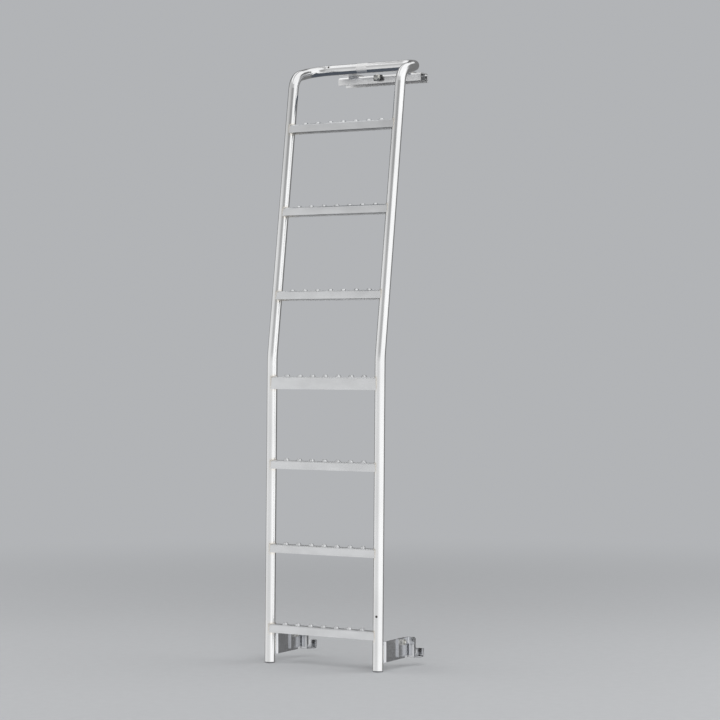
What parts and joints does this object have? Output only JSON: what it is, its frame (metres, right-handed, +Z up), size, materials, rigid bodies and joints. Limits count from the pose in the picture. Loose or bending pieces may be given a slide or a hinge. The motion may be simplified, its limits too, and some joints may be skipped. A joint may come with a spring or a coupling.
{
  "type": "van rear door ladder",
  "caption": "Narrow bent-tube ladder with gripped rungs that hooks over a van's rear door and rests on it below.",
  "frame": {"origin": "middle of the face with which the top hook rests on the door's upper edge", "axes": "+X to the right seen by a climber, +Y towards the door, +Z up"},
  "size_m": [0.3562, 0.3216, 1.4617],
  "materials": {
    "tube": "polished",
    "rungs": "satin",
    "brackets": "satin",
    "fasteners": "bright",
    "pads": "matte",
    "plugs": "matte"
  },
  "bodies": {
    "root": {"left_rail": "tube", "right_rail": "tube", "rung_1": "rungs", "rung_2": "rungs", "rung_3": "rungs", "rung_4": "rungs", "rung_5": "rungs", "rung_6": "rungs", "rung_7": "rungs", "door_hook": "brackets", "left_saddle": "brackets", "right_saddle": "brackets", "left_arm": "brackets", "right_arm": "brackets", "left_foot": "brackets", "right_foot": "brackets", "left_claw": "brackets", "right_claw": "brackets", "hook_clamp": "fasteners", "left_bolt": "fasteners", "right_bolt": "fasteners", "hook_pad": "pads", "left_door_pad": "pads", "right_door_pad": "pads", "left_plug": "plugs", "right_plug": "plugs"}
  },
  "joints": []
}
